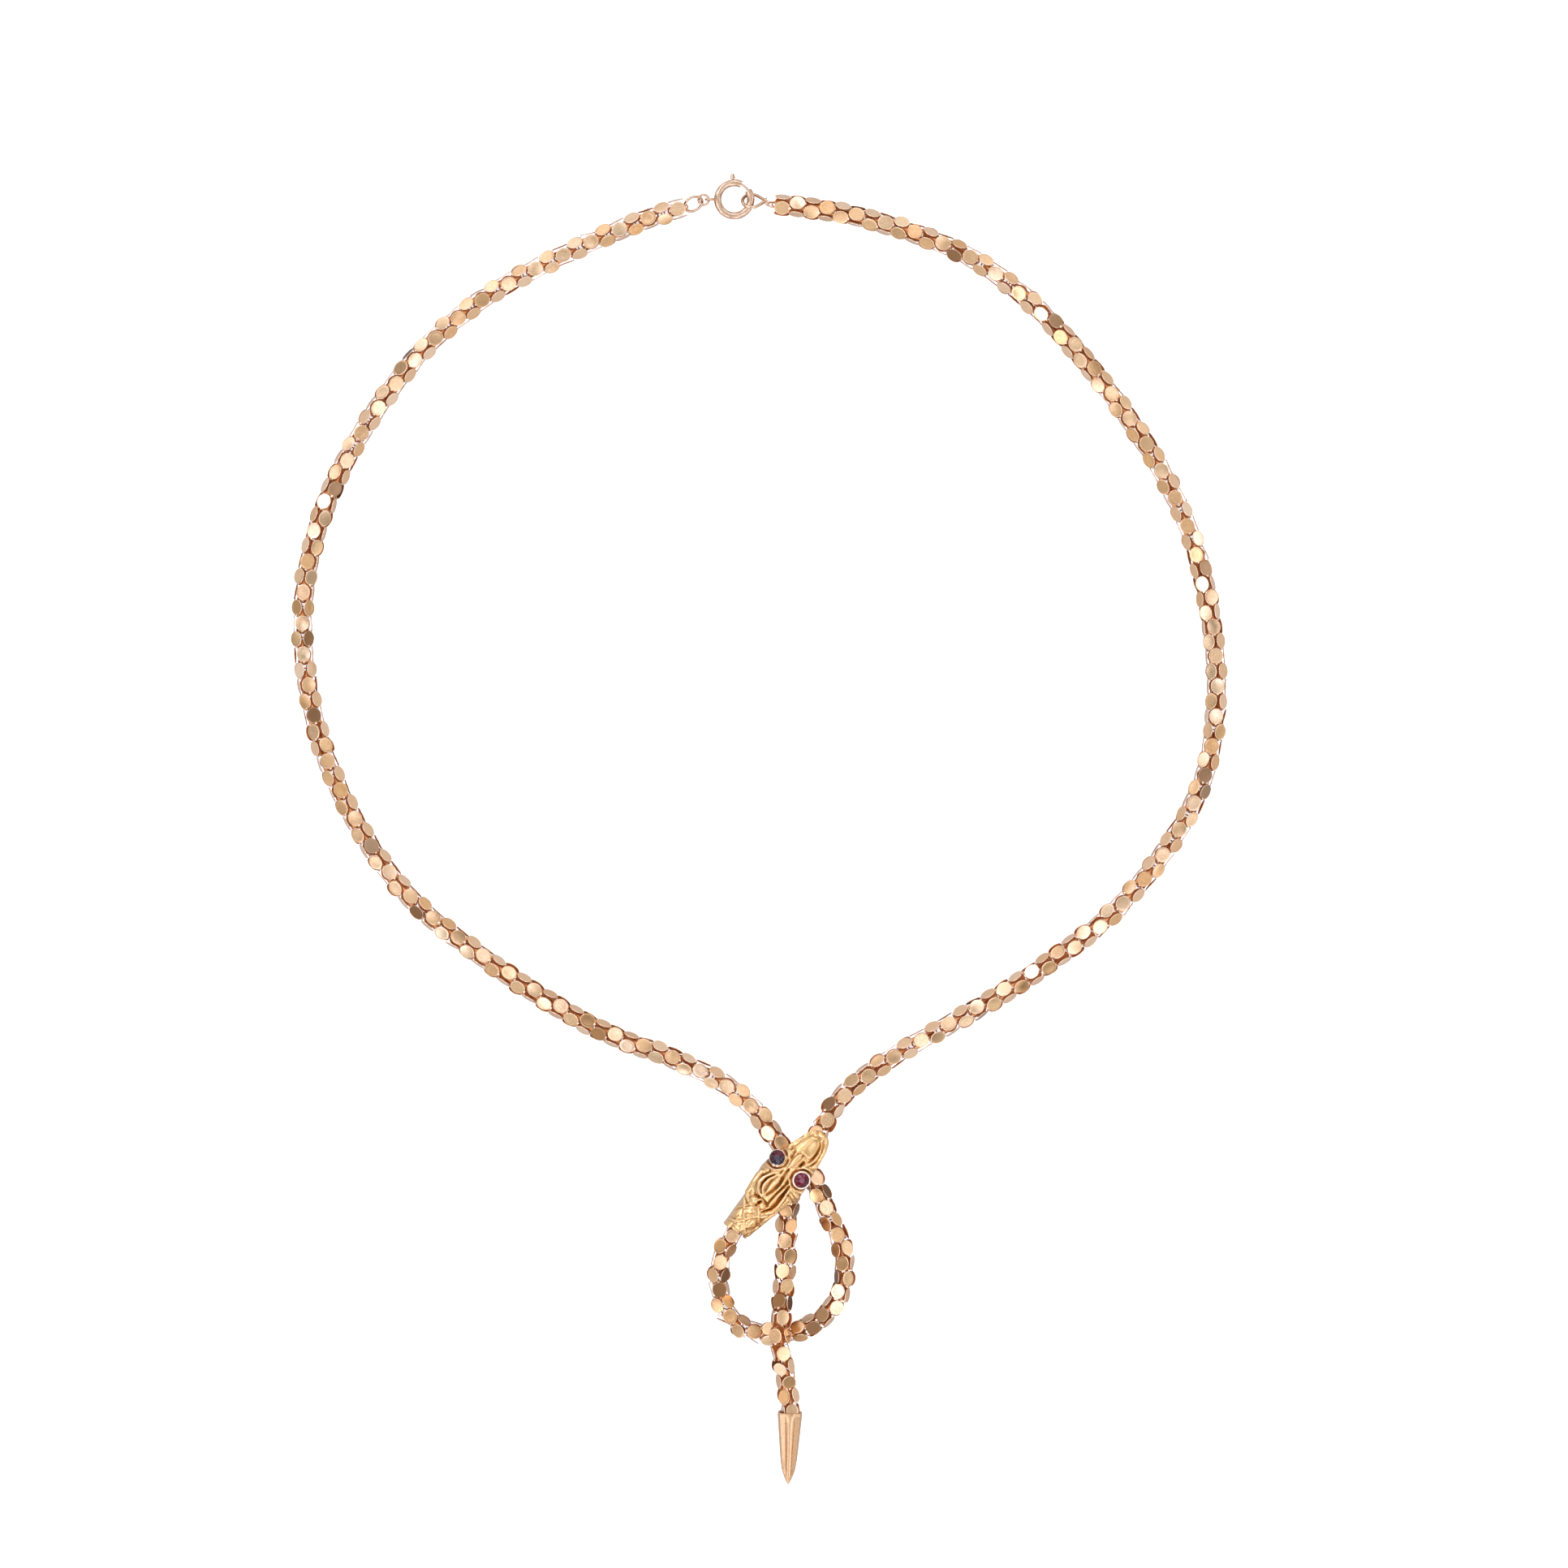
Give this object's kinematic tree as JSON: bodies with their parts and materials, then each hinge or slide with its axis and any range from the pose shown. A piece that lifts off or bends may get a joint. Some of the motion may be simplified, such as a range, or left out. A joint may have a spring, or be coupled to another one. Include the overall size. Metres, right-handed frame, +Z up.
{
  "type": "snake choker necklace",
  "caption": "Gold chain choker of four-disc links with a cast snake head set with two garnet eyes, a tapered tail end and a bolt ring clasp.",
  "frame": {"origin": "on the surface that the choker lies on, under the middle of its bounding box", "axes": "+Z up from the surface, +Y from the tail cap to the clasp, +X to the right as seen from above"},
  "size_m": [0.1383, 0.194, 0.0082],
  "materials": {
    "chain_gold": "polished gold, slightly worn",
    "head_gold": "cast yellow gold, satin with polished ridges",
    "rose_gold": "rose gold",
    "garnet": "faceted dark red garnet"
  },
  "bodies": {
    "necklace": {"head_strand": "chain_gold", "tail_strand": "chain_gold", "snake_head": "head_gold", "left_eye_stone": "garnet", "right_eye_stone": "garnet", "tail_cap": "rose_gold", "bolt_ring": "rose_gold", "long_jump_ring": "rose_gold", "small_jump_ring": "rose_gold", "catch_loop": "rose_gold"},
    "trigger": {"bolt_trigger": "rose_gold"}
  },
  "joints": [
    {"name": "trigger_slide", "type": "hinge", "parent": "necklace", "child": "trigger", "pos_m": [-0.0037, 0.09307, 0.0013], "axis": [0, 0, 1], "range_deg": [0, 32], "stiffness_Nm_per_rad": 0.0005, "springref_deg": -17.19}
  ]
}
